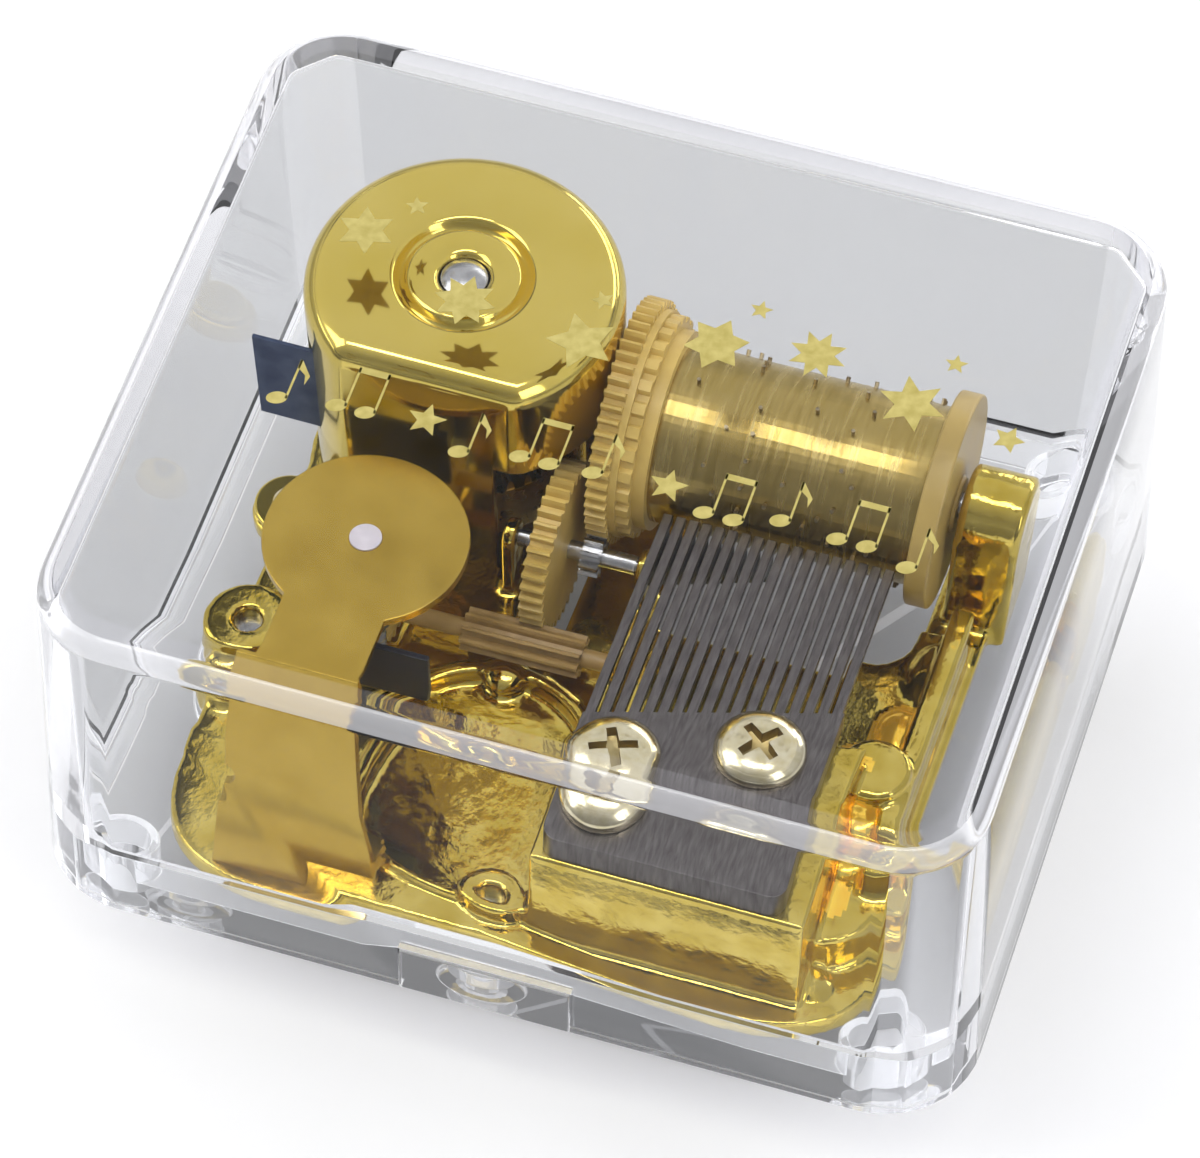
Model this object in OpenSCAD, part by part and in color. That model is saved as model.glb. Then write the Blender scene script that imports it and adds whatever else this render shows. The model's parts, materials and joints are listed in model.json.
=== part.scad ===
// Wind-up music box: an 18-tooth comb movement in a clear two-part case.
// X runs along the front edge, Y to the back, Z up. The origin is below the middle of the
// case, on the plane that the lowest point of the winding key touches.

/* [Case] */
// Width of the case along X
case_w = 65; // [64:0.5:70]
// Depth of the case along Y
case_d = 55.7; // [55.5:0.1:60]
// Height of the closed case without the key
case_h = 29.5; // [29:0.5:34]
// Radius of the outer upright corners
case_r = 6.7; // [5:0.1:8]
// Wall thickness of the lid
wall = 2.3; // [2:0.1:2.5]
// Height of the joint between base and lid
joint_h = 6; // [5.5:0.1:6.5]
// Distance from the case's underside down to the key's lowest point
key_drop = 7; // [6.5:0.5:9]

/* [Cylinder and comb] */
// Radius of the pinned brass tube
tube_r = 6.4; // [6.2:0.1:6.5]
// How far a music pin stands out of the tube
pin_h = 0.42; // [0.3:0.02:0.45]
// Number of teeth on the comb
teeth = 18; // [18:1:18]
// Distance from one comb tooth to the next
tooth_pitch = 0.93; // [0.9:0.01:0.96]
// Music steps round the tube
steps = 44; // [30:1:60]

/* [Gears] */
// Module of the spur gears
mod = 0.3; // [0.3:0.01:0.3]
// Teeth of the large gear on the cylinder
cyl_teeth = 56; // [56:1:56]
// Leaves of the two small spur pinions
leaf_teeth = 9; // [9:1:9]
// Teeth of the second wheel
second_teeth = 40; // [40:1:40]
// Teeth of the worm wheel, driven past a one-start worm
worm_wheel_teeth = 13; // [13:1:13]
// Teeth of the crown wheel that the mainspring drives
crown_teeth = 38; // [38:1:38]
// Leaves of the pinion that runs on the crown wheel
drive_teeth = 10; // [10:1:10]

/* [Spring housing] */
// Outer radius of the spring housing
house_r = 10.9; // [10.8:0.05:10.9]
// Sheet thickness of the spring housing
sheet = 0.6; // [0.5:0.05:0.7]

/* [Hidden] */

$fn = 64;
e = 0.01;                    // overlap of cuts past a face
run = 0.05;                  // radial clearance of a running pivot

// ---- heights, all from the case's underside
z0 = key_drop;               // underside of the case
floor_t = 2.4;               // base floor
bed_z = z0 + 3;              // underside of the bedplate
bed_t = 1.6;                 // bedplate thickness
bed_top = bed_z + bed_t;
axis_z = z0 + 14.4;          // cylinder axis, level with the comb's top
axis_y = 11.3;
house_top = z0 + 25.5;       // top of the spring housing
disc_top = z0 + 19.3;        // top of the governor bracket

// ---- case
skirt = 1.3;                 // lid wall below the joint
gap = 0.1;                   // clearance between base and lid
corner_cut = 2.5;            // chamfer of the cavity's upright corners
draft = 1.4;                 // draft angle of the lid's sides
notch_x = [-5.9, 6.1];       // the opening in the lid's front skirt that the base's tab fills
notch_h = 4.6;
boss_x = 26.3;
boss_y = 22.9;
boss_r = 2.6;
boss_bore = 1.95;

// ---- movement: plan positions
house_x = -13.9;
house_flat_y = 2.4;            // flat front of the spring housing
gear_x = -2.9;               // left face of the large gear
gear_w = 2;
flange_x = gear_x + gear_w;  // left face of the stepped flange
tube_x = [0.9, 19.6];        // the brass tube's ends
end_w = 1.6;
end_r = 7.7;
post_x = [21.8, 26.4];       // right bearing of the cylinder arbor
arbor_r = 0.9;
second_y = 2.5;
second_z = z0 + 10;
third_y = -4.3;
third_z = z0 + 7;
worm_x = -15;
worm_y = -7.2;
wall_x = [1.2, 2];           // upright wall that carries the right pivots
pivot_r = 0.45;
drive_r = 8.1;               // crown wheel's outer radius
crown_in = 6.9;              // inner radius of its teeth
crown_mod = 0.4;
drive_x = house_x + crown_in; // left face of the drive pinion
crown_pitch_z = axis_z - drive_teeth * crown_mod / 2;
lugs = [[-24.2, -7.7], [-1.2, -20], [22.9, 16.7]];
comb_screw_at = [[5.4, -16.4], [14.5, -13]];
dish = [-5.2, -13.4];        // round dish below the governor
dish_r = 7.3;
dish_floor = 0.9;            // thickness left below the dish
house_feet = [[-25.2, 3.7], [-24.4, 18.5], [-3.4, 20.1]];
bracket_screw_at = [[-17.6, -19.2], [-12, -19.2]];
comb_top = axis_z;
comb_t = 1.9;                // heel thickness
tooth_t = 0.7;
comb_x0 = 2.2;                 // left edge of the comb
comb_w = teeth * tooth_pitch;
comb_front = -20.7;
tip_y = axis_y - tube_r - pin_h - 0.08;
root_y = [-13.3, -8.1];      // where the teeth start, at the comb's left and right edge
worm_pitch = PI * mod;
spring_z = [z0 + 13.4, z0 + 21.4];

// ---- general shapes
module along_x(x, y, z) translate([x, y, z]) rotate([90, 0, 90]) children();
module rod_x(x, y, z, r) along_x(x[0], y, z) cylinder(h = x[1] - x[0], r = r);
module corner(x, y, a, r) translate([x, y]) rotate(a) difference() {
    translate([-e, -e]) square(r + e);
    translate([r, r]) circle(r);
}
// a rectangle whose four corners are rounded by r, anticlockwise from the front left
module rounded(x, y, r) difference() {
    translate([x[0], y[0]]) square([x[1] - x[0], y[1] - y[0]]);
    corner(x[0], y[0], 0, r[0]);
    corner(x[1], y[0], 90, r[1]);
    corner(x[1], y[1], 180, r[2]);
    corner(x[0], y[1], 270, r[3]);
}
// a rectangle with its corners cut at 45 degrees
module chamfered(w, d, c) polygon([for (s = [[1, 1], [-1, 1], [-1, -1], [1, -1]])
    for (k = s[0] * s[1] > 0 ? [0, 1] : [1, 0])
        [s[0] * (w / 2 - (k == 0 ? 0 : c)), s[1] * (d / 2 - (k == 0 ? c : 0))]]);
// gear outline: widths are shares of one pitch, at the root, the pitch circle and the tip
module gear_outline(n, r, w, phase) polygon([for (i = [0:n - 1]) for (k = [0:5])
    let (j = k < 3 ? k : 5 - k, a = phase + (i + (k < 3 ? -1 : 1) * w[j] / 2) * 360 / n)
        [r[j] * cos(a), r[j] * sin(a)]]);
module wheel_outline(n, phase) gear_outline(n, mod * [n / 2 - 1.25, n / 2, n / 2 + 0.9],
    [0.62, 0.44, 0.2], phase);
module leaf_outline(n, m, phase) gear_outline(n, m * [n / 2 - 1.35, n / 2, n / 2 + 0.85],
    [0.46, 0.38, 0.2], phase);
function pitch_r(n) = n * mod / 2;
// a flat-headed screw, head up, with a cross recess
module screw(head_r, head_h, shank_r, length) {
    difference() {
        rotate_extrude() intersection() {
            translate([0, -head_h]) circle(head_r * 1.06);
            square([head_r, head_h]);
        }
        for (a = [0, 90]) rotate(a) translate([-head_r * 0.55, -head_r * 0.1, head_h * 0.45])
            cube([head_r * 1.1, head_r * 0.2, head_h * 2]);
    }
    translate([0, 0, -length]) cylinder(h = length + e, r = shank_r);
}

// ---- case
module case_outline(inset) rounded([-case_w / 2 + inset, case_w / 2 - inset],
    [-case_d / 2 + inset, case_d / 2 - inset], [for (i = [0:3]) case_r - inset]);
module base() color([0.86, 0.88, 0.9, 0.5]) difference() {
    union() {
        translate([0, 0, z0]) linear_extrude(floor_t)
            chamfered(case_w - 2 * (skirt + gap), case_d - 2 * (skirt + gap), corner_cut);
        translate([0, 0, z0]) linear_extrude(joint_h - gap) difference() {
            chamfered(case_w - 2 * (skirt + gap), case_d - 2 * (skirt + gap), corner_cut);
            chamfered(case_w - 2 * wall - 1, case_d - 2 * wall - 1, corner_cut);
        }
        translate([notch_x[0] + gap, -case_d / 2, z0])
            cube([notch_x[1] - notch_x[0] - 2 * gap, skirt + 1, notch_h - gap]);
        for (x = [-1, 1], y = [-1, 1]) translate([x * boss_x, y * boss_y, z0])
            cylinder(h = joint_h - 0.8, r = boss_r);
        for (p = lugs) translate([p[0], p[1], z0]) cylinder(h = bed_z - z0, r = 3.1);
    }
    for (x = [-1, 1], y = [-1, 1]) translate([x * boss_x, y * boss_y, z0 + 0.8])
        cylinder(h = joint_h, r = boss_bore);
    for (p = lugs) translate([p[0], p[1], z0 - e]) {
        cylinder(h = bed_z, r = 1.15);
        cylinder(h = 1.5, r = 2.4);
    }
    translate([house_x, axis_y, z0 - e]) cylinder(h = floor_t + 1, r = 3.4);
}
module lid() color([0.9, 0.92, 0.94, 0.35]) difference() {
    intersection() {
        translate([0, 0, z0]) linear_extrude(case_h) case_outline(0);
        for (s = [-1, 1]) translate([s * case_w / 2, 0, z0]) rotate([0, -s * draft, 0])
            translate([s > 0 ? -2 * case_w : 0, -case_d, -5]) cube([2 * case_w, 2 * case_d, case_h * 2]);
        for (s = [-1, 1]) translate([0, s * case_d / 2, z0]) rotate([s * draft, 0, 0])
            translate([-case_w, s > 0 ? -2 * case_d : 0, -5]) cube([2 * case_w, 2 * case_d, case_h * 2]);
    }
    translate([0, 0, z0 - e]) linear_extrude(joint_h + e)
        chamfered(case_w - 2 * skirt, case_d - 2 * skirt, corner_cut);
    translate([0, 0, z0]) linear_extrude(case_h - wall)
        chamfered(case_w - 2 * wall, case_d - 2 * wall, corner_cut);
    translate([notch_x[0], -case_d / 2 - 1, z0 - e])
        cube([notch_x[1] - notch_x[0], skirt + 1.5, notch_h + e]);
}
module base_screws() color("silver") for (p = lugs) translate([p[0], p[1], z0 + 1.5 - e])
    mirror([0, 0, 1]) screw(2, 1, 0.98, 3.8);

// ---- bedplate
module boss_clearance() for (x = [-1, 1], y = [-1, 1]) translate([x * boss_x, y * boss_y])
    circle(boss_r + 0.2);
module bed_outline() difference() {
    union() {
        rounded([-25.4, 25.2], [-24, 21.7], [10, 9, 9, 3]);
        translate([house_x, axis_y]) circle(house_r + 1);
        for (p = concat(lugs, house_feet)) translate(p) circle(2.8);
    }
    boss_clearance();
}
// an upright bearing wall with a round head about an axis along X
module bearing_wall(x, y, z, r, y_foot) {
    rod_x(x, y, z, r);
    translate([x[0], y_foot[0], bed_z]) cube([x[1] - x[0], y_foot[1] - y_foot[0], z - bed_z]);
}
module bedplate() color([0.86, 0.73, 0.35]) difference() {
    union() {
        difference() {
            translate([0, 0, bed_z]) linear_extrude(bed_t) bed_outline();
            translate([dish[0], dish[1], bed_z + dish_floor]) cylinder(h = bed_t, r = dish_r);
        }
        // raised comb platform and the swelling deck beside it
        translate([0, 0, bed_z]) linear_extrude(comb_top - comb_t - bed_z)
            polygon([[1.6, -21], [20.4, -21], [20.9, -9.1], [1.6, -14.1]]);
        translate([0, 0, bed_z]) linear_extrude(4.2) rounded([17, 24.6], [-17.5, 5.2], [2, 5, 1, 1]);
        translate([21.6, -9, bed_z]) cylinder(h = 7, r = 2.5);
        translate([22.8, -13.5, bed_z]) cube([1.6, 20, 6]);
        // raised rim of the dish, left out where the governor bracket stands
        translate([dish[0], dish[1], bed_z]) difference() {
            cylinder(h = 2.4, r = dish_r + 0.9);
            translate([0, 0, -e]) cylinder(h = 4, r = dish_r);
            translate([-12, -12, bed_t]) cube([8.6, 8.2, 3]);
        }
        // lugs that take the screws from the base
        translate([lugs[0][0], lugs[0][1], bed_z]) cylinder(h = 3.4, r = 3.2);
        translate([lugs[1][0], lugs[1][1], bed_z]) cylinder(h = 3.6, r = 2.4);
        translate([lugs[2][0], lugs[2][1], bed_z]) cylinder(h = 3.2, r = 2.6);
        // foot bearing of the worm shaft and boss of the winding arbor
        translate([worm_x, worm_y, bed_z]) cylinder(h = 1.7, r = 1.6);
        translate([house_x, axis_y, bed_z]) cylinder(h = 3.6, r = 3.2);
        // right bearing of the cylinder and the walls that carry the train
        bearing_wall(post_x, axis_y, axis_z, 2.7, [axis_y - 3.2, axis_y + 3.2]);
        bearing_wall(wall_x, second_y, second_z, 1.4, [second_y - 1.4, second_y + 1.4]);
        bearing_wall(wall_x, third_y, third_z, 1.5, [-9, second_y]);
        bearing_wall([-8.6, -7.6], second_y, second_z, 1.3, [second_y - 1.3, second_y + 1.3]);
        bearing_wall([-18.4, -17.4], third_y, third_z, 1.3, [third_y - 1.3, third_y + 1.3]);
    }
    // the slot below the second wheel and the recess below the worm wheel
    translate([gear_x - 3.6, second_y - 6.9, bed_z - e]) cube([3.3, 13.8, bed_t + 1]);
    translate([worm_x - 1.1, third_y - 1.4, bed_top - 0.4]) cube([2.2, 2.8, 2]);
    // window below the cylinder and the tips of the comb
    translate([0, 0, bed_z - e]) linear_extrude(bed_t + 3) rounded([2.6, 20.9], [1.2, 18.7], [1, 3, 1, 1]);
    // hollow below the comb platform
    translate([3.4, -19.6, bed_z - e]) cube([15.6, 4.6, 5]);
    for (p = comb_screw_at) translate([p[0], p[1], bed_z + 4]) cylinder(h = 12, r = 1);
    for (p = lugs) translate([p[0], p[1], bed_z - e]) cylinder(h = 4.4, r = 1);
    for (p = house_feet) translate([p[0], p[1], bed_z - e]) cylinder(h = bed_t + 1, r = 0.7);
    for (p = bracket_screw_at) translate([p[0], p[1], bed_z - e]) cylinder(h = bed_t + 1, r = 0.7);
    translate([house_x, axis_y, bed_z - e]) cylinder(h = 5, r = 1.6 + run);
    translate([worm_x, worm_y, bed_z + 0.6]) cylinder(h = 5, r = pivot_r + run);
    rod_x([post_x[0] - 1, post_x[1] - 0.7], axis_y, axis_z, arbor_r + run);
    rod_x([-9, wall_x[1] + 1], second_y, second_z, pivot_r + run);
    rod_x([-19, wall_x[1] + 1], third_y, third_z, pivot_r + run);
}
// left bearing of the cylinder, between the drive pinion and the large gear
module bearing_post() color([0.86, 0.73, 0.35]) difference() {
    union() {
        rod_x([-5, -3.5], axis_y, axis_z, 1.9);
        translate([-5, axis_y - 1.9, bed_top]) cube([1.5, 3.8, axis_z - bed_top]);
    }
    rod_x([-6, -3], axis_y, axis_z, arbor_r + run);
}

// ---- spring housing and winding
module house_outline(inset) difference() {
    translate([house_x, axis_y]) circle(house_r - inset);
    translate([house_x - 15, house_flat_y + inset - 30]) square(30);
}
module spring_housing() color([0.86, 0.74, 0.35]) difference() {
    union() {
        translate([0, 0, bed_top]) linear_extrude(house_top - bed_top - 0.5) house_outline(0);
        translate([0, 0, house_top - 1]) linear_extrude(1) house_outline(0.7);
        translate([0, 0, bed_top]) linear_extrude(sheet) difference() {
            for (p = house_feet) translate(p) {
                circle(2.6);
                rotate(atan2(axis_y - p[1], house_x - p[0])) translate([0, -2]) square([5, 4]);
            }
            boss_clearance();
        }
    }
    difference() {
        translate([0, 0, bed_top - e]) linear_extrude(house_top - bed_top - sheet) house_outline(sheet);
        translate([house_x, axis_y, house_top - 1.6]) cylinder(h = 1, r = 2.9);
    }
    // ring groove round the arbor's hole
    translate([house_x, axis_y, house_top - 0.3]) difference() {
        cylinder(h = 1, r = 4.7);
        translate([0, 0, -e]) cylinder(h = 2, r = 3.85);
    }
    translate([house_x, axis_y, house_top - 3]) cylinder(h = 4, r = 1.6 + run);
    // side opening for the train and slot for the spring's tail
    translate([-9.3, 0.3, bed_top - e]) cube([8, 17.8, z0 + 17.2 - bed_top]);
    translate([-26, axis_y - spring_out - spring_t / 2, spring_z[0] - 0.4])
        cube([5, 1.4, spring_z[1] - spring_z[0] + 0.8]);
    for (p = house_feet) translate([p[0], p[1], bed_top - 1]) cylinder(h = 2, r = 0.7);
}
module housing_screws() color([0.82, 0.72, 0.42]) for (p = house_feet)
    translate([p[0], p[1], bed_top + sheet]) screw(1.3, 0.7, 0.68, 2);
// a flat strip wound from the arbor outwards, whose tail runs out through the housing
spring_in = 2.5;
spring_out = 6.2;
spring_turns = 7.25;
spring_t = 0.28;
function spiral(u, side) = let (a = 270 + (1 - u) * spring_turns * 360,
    r = spring_in + (spring_out - spring_in) * u + side * spring_t / 2)
    [house_x + r * cos(a), axis_y + r * sin(a)];
module mainspring() color([0.27, 0.31, 0.42]) translate([0, 0, spring_z[0]])
    linear_extrude(spring_z[1] - spring_z[0]) {
        steps_n = round(spring_turns * 20);
        polygon(concat([for (i = [0:steps_n]) spiral(i / steps_n, -1)],
            [for (i = [steps_n:-1:0]) spiral(i / steps_n, 1)]));
        translate([-27.1, axis_y - spring_out - spring_t / 2]) square([13.2, spring_t]);
    }
module drive_wheel() color([0.82, 0.7, 0.4]) translate([house_x, axis_y, 0]) difference() {
    union() {
        translate([0, 0, z0 + 7.2]) cylinder(h = crown_pitch_z - 0.55 - z0 - 7.2, r = drive_r);
        for (i = [0:crown_teeth - 1]) rotate((i + 0.5) * 360 / crown_teeth)
            translate([crown_in, 0, crown_pitch_z - 0.6]) rotate([90, 0, 90])
                linear_extrude(drive_r - crown_in - 0.1)
                    polygon([[-0.3, 0], [0.3, 0], [0.23, 0.6], [0.1, 0.92], [-0.1, 0.92], [-0.23, 0.6]]);
        translate([0, 0, bed_z + 3.7]) cylinder(h = 2, r = 2.6);
    }
    translate([0, 0, z0 + 8.8]) cylinder(h = 6, r = crown_in);
    translate([0, 0, bed_z]) cylinder(h = 12, r = 1.6 + run);
    rotate(150) translate([5.2, 0, z0 + 7]) cylinder(h = 3, r = 0.5 + run);
}
// pawl that the arbor's ratchet slips under while winding and catches while playing
module click() color("silver") translate([house_x, axis_y, 0]) rotate(150) {
    translate([5.2, 0, z0 + 7.3]) cylinder(h = 2.9, r = 0.5);
    translate([0, 0, z0 + 9]) linear_extrude(1.2) difference() {
        union() {
            translate([5.2, 0]) circle(0.9);
            polygon([[6.1, 0], [5.6, -2.6], [4.4, -3.9], [2.7, -3.35], [4.3, -2.4], [4.5, 0]]);
        }
        circle(4.1);
    }
}
module click_spring() color("gray") translate([house_x, axis_y, 0]) rotate(150)
    translate([0, 0, z0 + 8.8]) linear_extrude(1) difference() {
        circle(crown_in - 0.05);
        circle(crown_in - 0.3);
        rotate(-75) translate([-10, -10]) square([20, 10]);
        rotate(-160) translate([-10, -10]) square([20, 10]);
    }
module winding_arbor() color("silver") translate([house_x, axis_y, 0]) {
    translate([0, 0, z0 - 4]) cylinder(h = house_top - z0 + 3.6, r = 1.6);
    translate([0, 0, spring_z[0] - 0.2]) cylinder(h = spring_z[1] - spring_z[0] + 0.4, r = 2.1);
    translate([0, 0, house_top - 0.42]) intersection() {
        translate([0, 0, -2.2]) sphere(r = 2.72);
        cylinder(h = 2, r = 1.6);
    }
}
module ratchet_wheel() color("gray") translate([house_x, axis_y, z0 + 9]) linear_extrude(1.2)
    difference() {
        polygon([for (i = [0:13]) for (k = [0, 1]) let (a = (i + k * 0.85) * 360 / 14, r = k == 0 ? 3.1 : 4)
            [r * cos(a), r * sin(a)]]);
        circle(1.6);
    }
module winding_key() color([0.85, 0.78, 0.55]) translate([house_x, axis_y, 0]) difference() {
    union() {
        translate([0, 0, 2.6]) cylinder(h = z0 - 2.2, r = 2.4);
        translate([0, 0, 2.6]) cylinder(h = 0.9, r = 3);
        translate([0, 0.8, 0]) rotate([90, 0, 0]) linear_extrude(1.6) {
            difference() {
                union() {
                    for (s = [-1, 1]) translate([s * 5, 2.4]) circle(2.4);
                    translate([-5, 0.5]) square([10, 3.6]);
                }
                for (s = [-1, 1]) translate([s * 4.9, 2.4]) circle(1);
            }
        }
    }
    translate([0, 0, z0 - 4 - e]) cylinder(h = 8, r = 1.6);
}

// ---- cylinder
module hub_ring(x, r_out, r_in) difference() {
    rod_x(x, axis_y, axis_z, r_out);
    rod_x([x[0] - 1, x[1] + 1], axis_y, axis_z, r_in);
}
module cylinder_arbor() color("silver") {
    rod_x([drive_x - 0.3, post_x[1] - 0.9], axis_y, axis_z, arbor_r);
}
module drive_pinion() color([0.8, 0.68, 0.4]) along_x(drive_x, axis_y, axis_z) linear_extrude(1.1)
    difference() {
        leaf_outline(drive_teeth, crown_mod, -90);
        circle(arbor_r);
    }
to_second = atan2(second_z - axis_z, second_y - axis_y);
to_third = atan2(third_z - second_z, third_y - second_y);
module cylinder_gear() color([0.78, 0.65, 0.33]) {
    along_x(gear_x, axis_y, axis_z) linear_extrude(gear_w - 0.5) difference() {
        wheel_outline(cyl_teeth, to_second);
        circle(arbor_r);
    }
    hub_ring([gear_x + gear_w - 0.5, flange_x], pitch_r(cyl_teeth) - 0.3, arbor_r);
}
module stepped_flange() color([0.78, 0.66, 0.36]) {
    along_x(flange_x, axis_y, axis_z) linear_extrude(0.9) difference() {
        gear_outline(30, [7.5, 7.7, 7.9], [0.7, 0.6, 0.45], 0);
        circle(arbor_r);
    }
    hub_ring([flange_x + 0.9, tube_x[0]], 7.1, arbor_r);
    hub_ring([tube_x[0], tube_x[0] + 1.5], tube_r - 0.6, arbor_r);
}
module cylinder_tube() color([0.83, 0.74, 0.5]) hub_ring(tube_x, tube_r, tube_r - 0.6);
// music pins: each track has its own rhythm, worked out from its number
function has_pin(track, step) = (track * 7 + step * 5 + (track * step) % 11) % 9 == 0;
module cylinder_pins() color([0.8, 0.72, 0.5]) for (t = [0:teeth - 1], s = [0:steps - 1])
    if (has_pin(t, s)) translate([comb_x0 + (t + 0.5) * tooth_pitch, axis_y, axis_z])
        rotate([s * 360 / steps + 2, 0, 0]) translate([0, 0, tube_r - 0.5])
            cylinder(h = pin_h + 0.5, r = 0.15, $fn = 8);
module end_flange() color([0.7, 0.58, 0.3]) {
    hub_ring([tube_x[1] - 1.5, tube_x[1]], tube_r - 0.6, arbor_r);
    hub_ring([tube_x[1], tube_x[1] + end_w], end_r, arbor_r);
    hub_ring([tube_x[1] + end_w, post_x[0] - 0.3], 2, arbor_r);
}

// ---- comb
comb_x1 = comb_x0 + comb_w;
function root_at(x) = root_y[0] + (root_y[1] - root_y[0]) * (x - comb_x0) / comb_w;
module comb() color([0.45, 0.43, 0.42]) difference() {
    union() {
        translate([0, 0, comb_top - comb_t]) linear_extrude(comb_t) difference() {
            polygon([[comb_x0, comb_front], [comb_x1, comb_front],
                [comb_x1, root_at(comb_x1)], [comb_x0, root_at(comb_x0)]]);
            corner(comb_x0, comb_front, 0, 1.2);
            corner(comb_x1, comb_front, 90, 1.2);
        }
        for (i = [0:teeth - 1]) let (x = comb_x0 + (i + 0.5) * tooth_pitch) {
            translate([x - 0.33, root_at(x) - 1, comb_top - tooth_t])
                cube([0.66, tip_y - root_at(x) + 1, tooth_t]);
        }
    }
    for (p = comb_screw_at) translate([p[0], p[1], comb_top - 5]) cylinder(h = 9, r = 1.15);
}
module comb_screws() color([0.8, 0.74, 0.52]) for (p = comb_screw_at)
    translate([p[0], p[1], comb_top]) screw(3.15, 1.7, 0.98, 6);
// lead blocks that lower the pitch of the long teeth
module tuning_weights() color("dimgray") for (i = [0:8])
    translate([comb_x0 + (i + 0.5) * tooth_pitch - 0.33, tip_y - 4.2 + i * 0.2, comb_top - tooth_t])
        mirror([0, 0, 1]) cube([0.66, 3.4 - i * 0.2, 2.4 - i * 0.2]);

// ---- governor
module pivoted_arbor(x, y, z, r) {
    rod_x([x[0] + 1, x[1] - 1], y, z, r);
    rod_x([x[0] + 0.1, x[1] - 0.1], y, z, pivot_r);
}
module second_arbor() color("silver") {
    pivoted_arbor([-8.5, wall_x[1]], second_y, second_z, 0.7);
    along_x(gear_x + 0.05, second_y, second_z) linear_extrude(gear_w - 0.6)
        leaf_outline(leaf_teeth, mod, to_second + 180 + 180 / leaf_teeth);
}
module second_wheel() color([0.8, 0.68, 0.4]) along_x(gear_x - 2.7, second_y, second_z)
    linear_extrude(1.7) difference() {
        wheel_outline(second_teeth, to_third);
        circle(0.7);
    }
module third_arbor() color([0.75, 0.62, 0.35]) {
    pivoted_arbor([-18.3, wall_x[1]], third_y, third_z, 0.7);
    along_x(-9.3, third_y, third_z) linear_extrude(8.6)
        leaf_outline(leaf_teeth, mod, to_third + 180 + 180 / leaf_teeth);
}
module worm_wheel() color([0.8, 0.7, 0.45]) along_x(worm_x - 0.7, third_y, third_z)
    linear_extrude(1.4) difference() {
        gear_outline(worm_wheel_teeth, mod * [5.2, 6.5, 7.7], [0.56, 0.4, 0.26],
            180 + 180 / worm_wheel_teeth);
        circle(0.7);
    }
// the one-start thread: a stack of eccentric discs, each a twelfth of a turn past the last
thread_discs = 43;
disc_h = worm_pitch / 12;
module worm_shaft() color("silver") translate([worm_x, worm_y, 0]) {
    translate([0, 0, bed_z + 0.7]) cylinder(h = disc_top - 0.5 - bed_z - 0.7, r = pivot_r);
    for (i = [0:thread_discs - 1]) rotate(90 + (i - (thread_discs - 1) / 2) * 30)
        translate([0.28, 0, third_z + (i - thread_discs / 2) * disc_h]) cylinder(h = disc_h, r = 0.6);
}
module air_brake() color([0.1, 0.1, 0.11]) translate([worm_x, worm_y, z0]) {
    translate([0, 0, 10]) difference() {
        cylinder(h = 5.6, r = 1.5);
        translate([0, 0, -1]) cylinder(h = 8, r = pivot_r);
    }
    for (a = [0, 180]) rotate(a) {
        translate([-0.3, -5.7, 10.6]) cube([0.6, 4.5, 4.2]);
        translate([-1.2, -5.9, 9.5]) cube([7.4, 0.45, 5.8]);
    }
}
// side outline of the bracket: flat top, slanting leg and a foot on the bedplate
leg_y = [-18.9, -22.2];
bracket_t = 0.7;
module bracket_profile() {
    polygon([[1, disc_top], [leg_y[0], disc_top], [leg_y[1], bed_top], [leg_y[1] + 4.6, bed_top],
        [leg_y[1] + 4.6, bed_top + bracket_t], [leg_y[1] + 0.93, bed_top + bracket_t],
        [leg_y[0] + 0.52, disc_top - bracket_t], [1, disc_top - bracket_t]]);
}
module governor_bracket() color([0.82, 0.68, 0.32]) difference() {
    intersection() {
        rotate([90, 0, 90]) translate([0, 0, -30]) linear_extrude(30) bracket_profile();
        union() {
            translate([worm_x, worm_y, bed_top + 10]) cylinder(h = 20, r = 7);
            translate([-18.7, leg_y[0], bed_top + 10]) cube([7.1, 12, 20]);
            translate([0, leg_y[0] + 0.4, bed_z]) rotate([90, 0, 0]) linear_extrude(8)
                polygon([[-20.2, 0], [-9, 0], [-11.6, disc_top - bed_z + 1], [-19.9, disc_top - bed_z + 1]]);
            translate([-19.6, leg_y[1] + 0.4, bed_z]) cube([10, 4.2, 3]);
        }
    }
    translate([worm_x, worm_y, disc_top - 2]) cylinder(h = 4, r = 1.1);
    translate([-20.2, -20.5, z0 + 10.5]) rotate([90, 0, 0]) cylinder(h = 3, r = 0.9, center = true);
    for (p = bracket_screw_at) translate([p[0], p[1], bed_z]) cylinder(h = 4, r = 0.75);
}
module bracket_screws() color([0.82, 0.72, 0.42]) for (p = bracket_screw_at)
    translate([p[0], p[1], bed_top + bracket_t]) screw(1.2, 0.7, 0.68, 2.2);
module pivot_bush() color([0.85, 0.82, 0.85]) translate([worm_x, worm_y, 0]) difference() {
    union() {
        translate([0, 0, disc_top - bracket_t - 0.5]) cylinder(h = bracket_t + 0.6, r = 1.1);
        translate([0, 0, disc_top - bracket_t - 0.9]) cylinder(h = 0.9, r = 1.6);
    }
    translate([0, 0, disc_top - 4]) cylinder(h = 3.6, r = pivot_r + run);
}

base();
lid();
base_screws();
bedplate();
bearing_post();
spring_housing();
housing_screws();
mainspring();
drive_wheel();
click();
click_spring();
winding_arbor();
winding_key();
ratchet_wheel();
cylinder_arbor();
drive_pinion();
cylinder_gear();
stepped_flange();
cylinder_tube();
cylinder_pins();
end_flange();
comb();
comb_screws();
tuning_weights();
second_arbor();
second_wheel();
third_arbor();
worm_wheel();
worm_shaft();
air_brake();
governor_bracket();
bracket_screws();
pivot_bush();
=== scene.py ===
import json
import math
import random

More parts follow.
